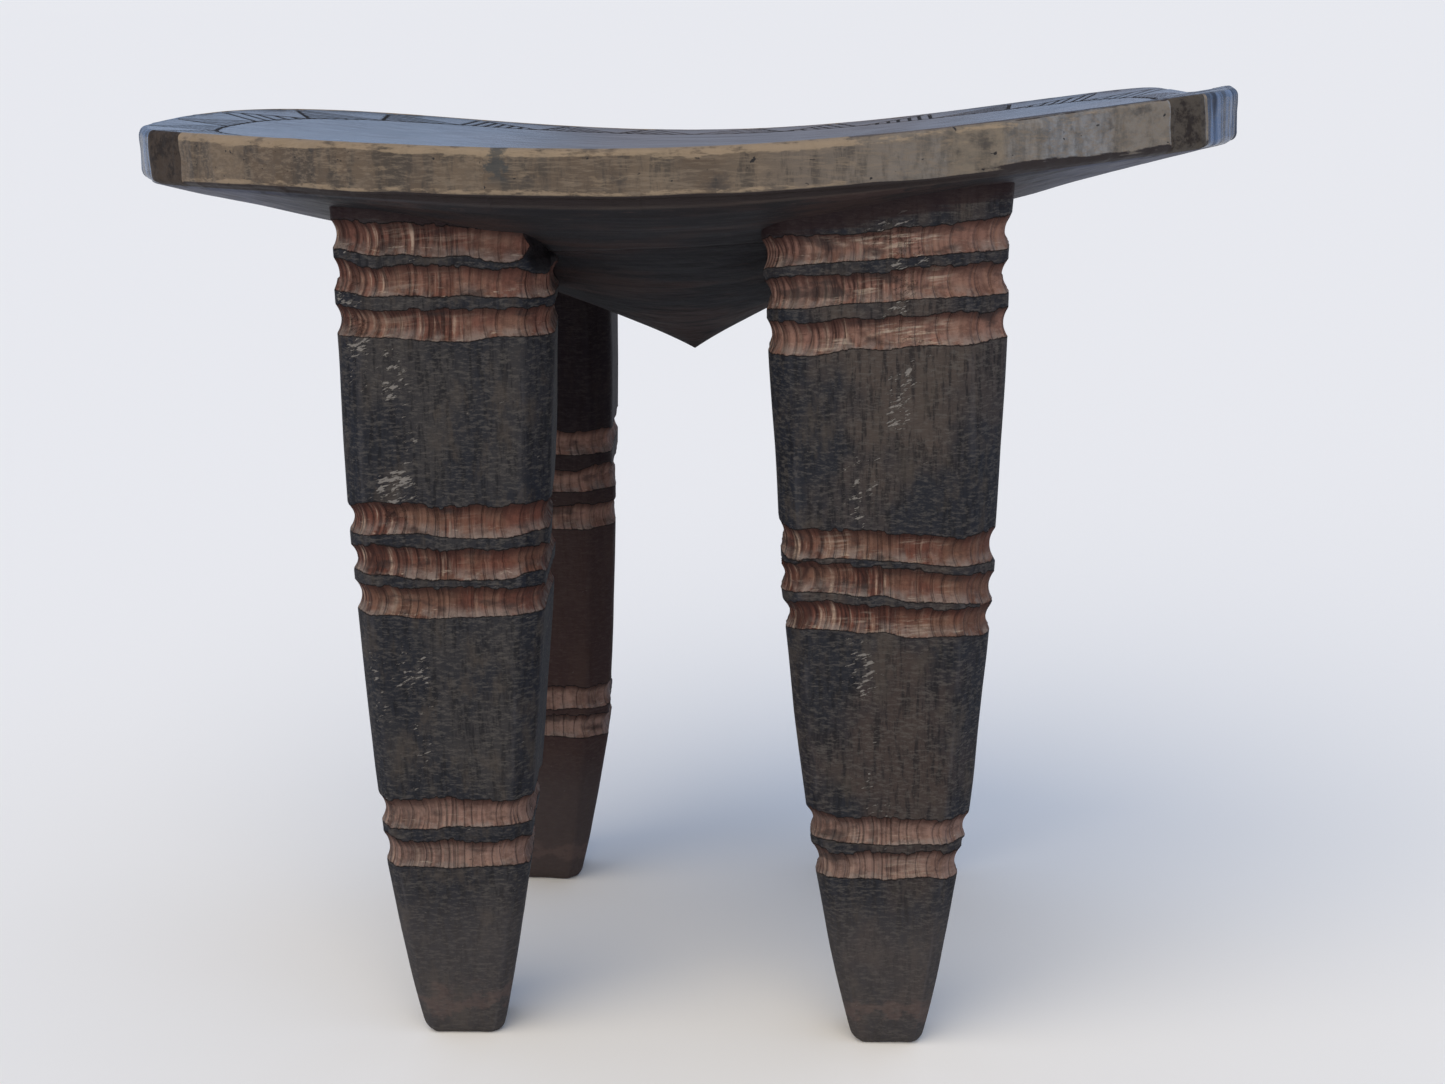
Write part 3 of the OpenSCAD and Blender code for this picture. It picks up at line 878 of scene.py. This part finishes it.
def adzed_wood(wood, tone, right, mottle):
    """Wood of the rim: a tone for each cut, greyer to the right, with tool marks, fibres and stains."""
    grey = wood.mix(wood.fade(tone, 0.2, 0.6), (0.205, 0.172, 0.130), (0.222, 0.238, 0.260))
    colour = wood.coat(wood.mix(tone, (0.075, 0.051, 0.033), (0.150, 0.110, 0.073)), right, 0.75, grey)
    colour = wood.coat(colour, mottle, wood.fade(right, 0, 1, 0.2, 0.5), (0.075, 0.066, 0.056))
    uprights = wood.patches(0.47, 0.60, (3.4, 3.4, 16), 5, 0.7, 5.5)
    colour = wood.coat(colour, uprights, wood.fade(right, 0, 1, 0.75, 0.4), (0.036, 0.029, 0.023))
    fibres = wood.patches(0.44, 0.64, (5, 0.5, 0.5), 4, 0.7, 7.7)
    colour = wood.coat(colour, fibres, 0.55, (0.180, 0.138, 0.098))
    stains = wood.patches(0.56, 0.70, (7, 7, 5), 5, 0.65, 1.1)
    colour = wood.coat(colour, stains, 0.55, (0.016, 0.015, 0.017))
    holes = wood.patches(0.70, 0.74, (1.4, 1.4, 1.0), 2, 0.5, 17.3)
    return wood.mix(holes, colour, (0.008, 0.006, 0.006))


def smear(wood):
    """How much there is of one dark smear that runs down from the front edge of the rim."""
    aside = wood.ragged(wood.absolute(wood.plus(wood.x, SMEAR_LEFT)), 2.2, (2, 2, 1.4), 5, 0.7, 35.3)
    down = wood.fade(wood.z, DISH_HEIGHT - 1.5, DISH_HEIGHT + 1.0)
    return wood.times(wood.fade(aside, 1.8, 0.7), wood.fade(wood.y, 0, -10), down)


def worn_rim(wood, tone, wear):
    """The rim: tan where its edges are rubbed, painted shade along its lower edge, two soiled cuts, and the
    polished ends with a painted blue reflection.
    """
    right = wood.fade(wood.x, 10, 60)
    mottle = wood.patches(0.44, 0.62, (3, 3, 2.2), 6, 0.75, 31.7)
    colour = adzed_wood(wood, tone, right, mottle)
    uneven = wood.fade(wood.noise((6, 6, 1.6), 5, 0.7, 19.1), 0.32, 0.68, -0.6, 0.6)
    colour = wood.coat(colour, wood.fade(wood.plus(wear, uneven), 0.35, 0.90), 0.6, (0.310, 0.230, 0.148))
    colour = wood.coat(colour, smear(wood), 0.8, (0.025, 0.031, 0.034))
    # painted shade along the lower edge, and dark lines at the edges towards +X
    shade_and_dark_lines = wood.fade(wood.plus(wear, wood.times(uneven, 0.6)), -0.35, -0.8, 0, 0.97)
    colour = wood.mix(shade_and_dark_lines, colour, (0.010, 0.004, 0.004))
    soiled = wood.coat(wood.mix(mottle, (0.040, 0.027, 0.019), (0.011, 0.006, 0.004)), right, 0.6,
                       wood.mix(mottle, (0.085, 0.072, 0.056), (0.020, 0.013, 0.010)))
    colour = wood.mix(wood.fade(tone, 0.72, 0.82), colour, soiled)
    # painted reflection: the polished ends are coloured blue, in streaks along the flutes
    fluted_reflection = wood.patches(0.42, 0.60, (2.2, 2.2, 30), 3, 0.6, 29.3)
    blue_reflection = wood.mix(fluted_reflection, (0.016, 0.024, 0.045), (0.085, 0.135, 0.240))
    return wood.mix(wood.fade(tone, -0.3, -0.8), colour, blue_reflection)


def plate_wood():
    """Oiled top, worn rim and stained underside, told apart by the side mark."""
    wood = Wood("plate_wood")
    side, tone, wear, line = (wood.mark(name) for name in ("side", "tone", "wear", "line"))
    on_wall = wood.times(wood.fade(side, 0.3, 0.7), wood.fade(side, 1.7, 1.3))
    under = wood.fade(side, 1.3, 1.7)
    grain = wood.noise((22, 1.0, 1.0), 5, 0.62, 3.3)
    incised = wood.fade(line, 0.14, -0.10)
    middle = wood.fade(wood.absolute(wood.plus(wood.x, -10)), 60, 20)
    colour = wood.mix(on_wall, oiled_top(wood, incised, grain, middle), worn_rim(wood, tone, wear))
    colour = wood.mix(under, colour, under_wood(wood))
    rough_wall = wood.plus(wood.fade(tone, -0.3, -0.8, 0.60, 0.30), wood.fade(tone, 0.8, 0.95, 0, 0.3))
    rough_top = wood.largest(wood.fade(middle, 0, 1, 0.20, 0.36), wood.fade(incised, 0, 1, 0, 0.9))
    step = wood.times(on_wall, wood.math("SUBTRACT", rough_wall, rough_top))
    roughness = wood.plus(step, rough_top, wood.times(under, 0.4), wood.fade(grain, 0.36, 0.66, -0.05, 0.07))
    return wood.finish(colour, roughness, [*fibre_bumps(wood, 0.5), (grain, 0.05)], Specular_IOR_Level=0.38)


def boss_wood():
    wood = Wood("boss_wood")
    roughness = wood.fade(wood.noise((18, 1.1, 1.1), 4, 0.6, 1.2), 0.3, 0.7, 0.65, 0.75)
    return wood.finish(under_wood(wood), roughness, fibre_bumps(wood), Specular_IOR_Level=0.25)


# ---------------------------------------------------------------- studio and camera


def pale_floor():
    """Wide floor that slopes up a little in the far distance, so that it fills the frame."""
    half, far, rise = 40.0, 400.0, 3.0
    corners = [(-half, -half, 0), (half, -half, 0), (half, half, 0), (-half, half, 0), (far, far, rise),
               (-far, far, rise)]
    mesh = bpy.data.meshes.new("floor")
    mesh.from_pydata(corners, [], [(0, 1, 2, 3), (3, 2, 4, 5)])
    floor = bpy.data.objects.new("floor", mesh)
    bpy.context.scene.collection.objects.link(floor)
    paint = bpy.data.materials.new("floor_paint")
    paint.use_nodes = True
    shader = paint.node_tree.nodes["Principled BSDF"]
    shader.inputs["Base Color"].default_value = (0.90, 0.89, 0.87, 1)
    shader.inputs["Roughness"].default_value = 0.9
    shader.inputs["Specular IOR Level"].default_value = 0.0
    mesh.materials.append(paint)


def soft_light(name, direction, strength, colour, spread):
    """Distant light from a direction, as wide as a big softbox."""
    data = bpy.data.lights.new(name, "SUN")
    data.energy, data.color, data.angle = strength, colour, math.radians(spread)
    light = bpy.data.objects.new(name, data)
    light.rotation_mode = "QUATERNION"
    light.rotation_quaternion = Vector(direction).to_track_quat("Z", "Y")
    bpy.context.scene.collection.objects.link(light)


def studio():
    world = bpy.data.worlds.new("sky")
    world.use_nodes = True
    background = world.node_tree.nodes["Background"]
    background.inputs["Color"].default_value = (0.42, 0.52, 0.72, 1)
    background.inputs["Strength"].default_value = 1.0
    bpy.context.scene.world = world
    bpy.context.scene.view_settings.view_transform = "Standard"
    soft_light("key", (-0.35, -0.8, 0.85), 1.9, (1.0, 0.83, 0.56), 70)
    soft_light("fill", (0.8, -0.3, 0.7), 0.25, (1.0, 0.9, 0.7), 90)
    pale_floor()


CAMERA_AZIMUTH, CAMERA_ELEVATION, CAMERA_ROLL = (math.radians(angle) for angle in (4.77, 13.67, -0.744))
CAMERA_DISTANCE = 0.4135
CAMERA_AIM = Vector((0.0056, 0.0, 0.0787))
FIELD_OF_VIEW = math.radians(35.6048)


def camera():
    data = bpy.data.cameras.new("camera")
    data.sensor_width = 36
    data.angle = FIELD_OF_VIEW
    view = bpy.data.objects.new("camera", data)
    back = Vector((math.sin(CAMERA_AZIMUTH) * math.cos(CAMERA_ELEVATION),
                   -math.cos(CAMERA_AZIMUTH) * math.cos(CAMERA_ELEVATION), math.sin(CAMERA_ELEVATION)))
    view.location = CAMERA_AIM + back * CAMERA_DISTANCE
    view.rotation_mode = "QUATERNION"
    view.rotation_quaternion = (-back).to_track_quat("-Z", "Y") @ Quaternion((0, 0, 1), CAMERA_ROLL)
    bpy.context.scene.collection.objects.link(view)
    bpy.context.scene.camera = view


# ---------------------------------------------------------------- the headrest


def dress(piece, material, node):
    piece.data.materials.append(material)
    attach(piece, "root")
    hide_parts(node)


camera()
studio()
dress(make_plate(), plate_wood(), "rest_plate")
dress(make_boss(), boss_wood(), "centre_boss")
leg_material = leg_wood()
for leg in LEGS:
    dress(make_leg(leg), leg_material, leg)
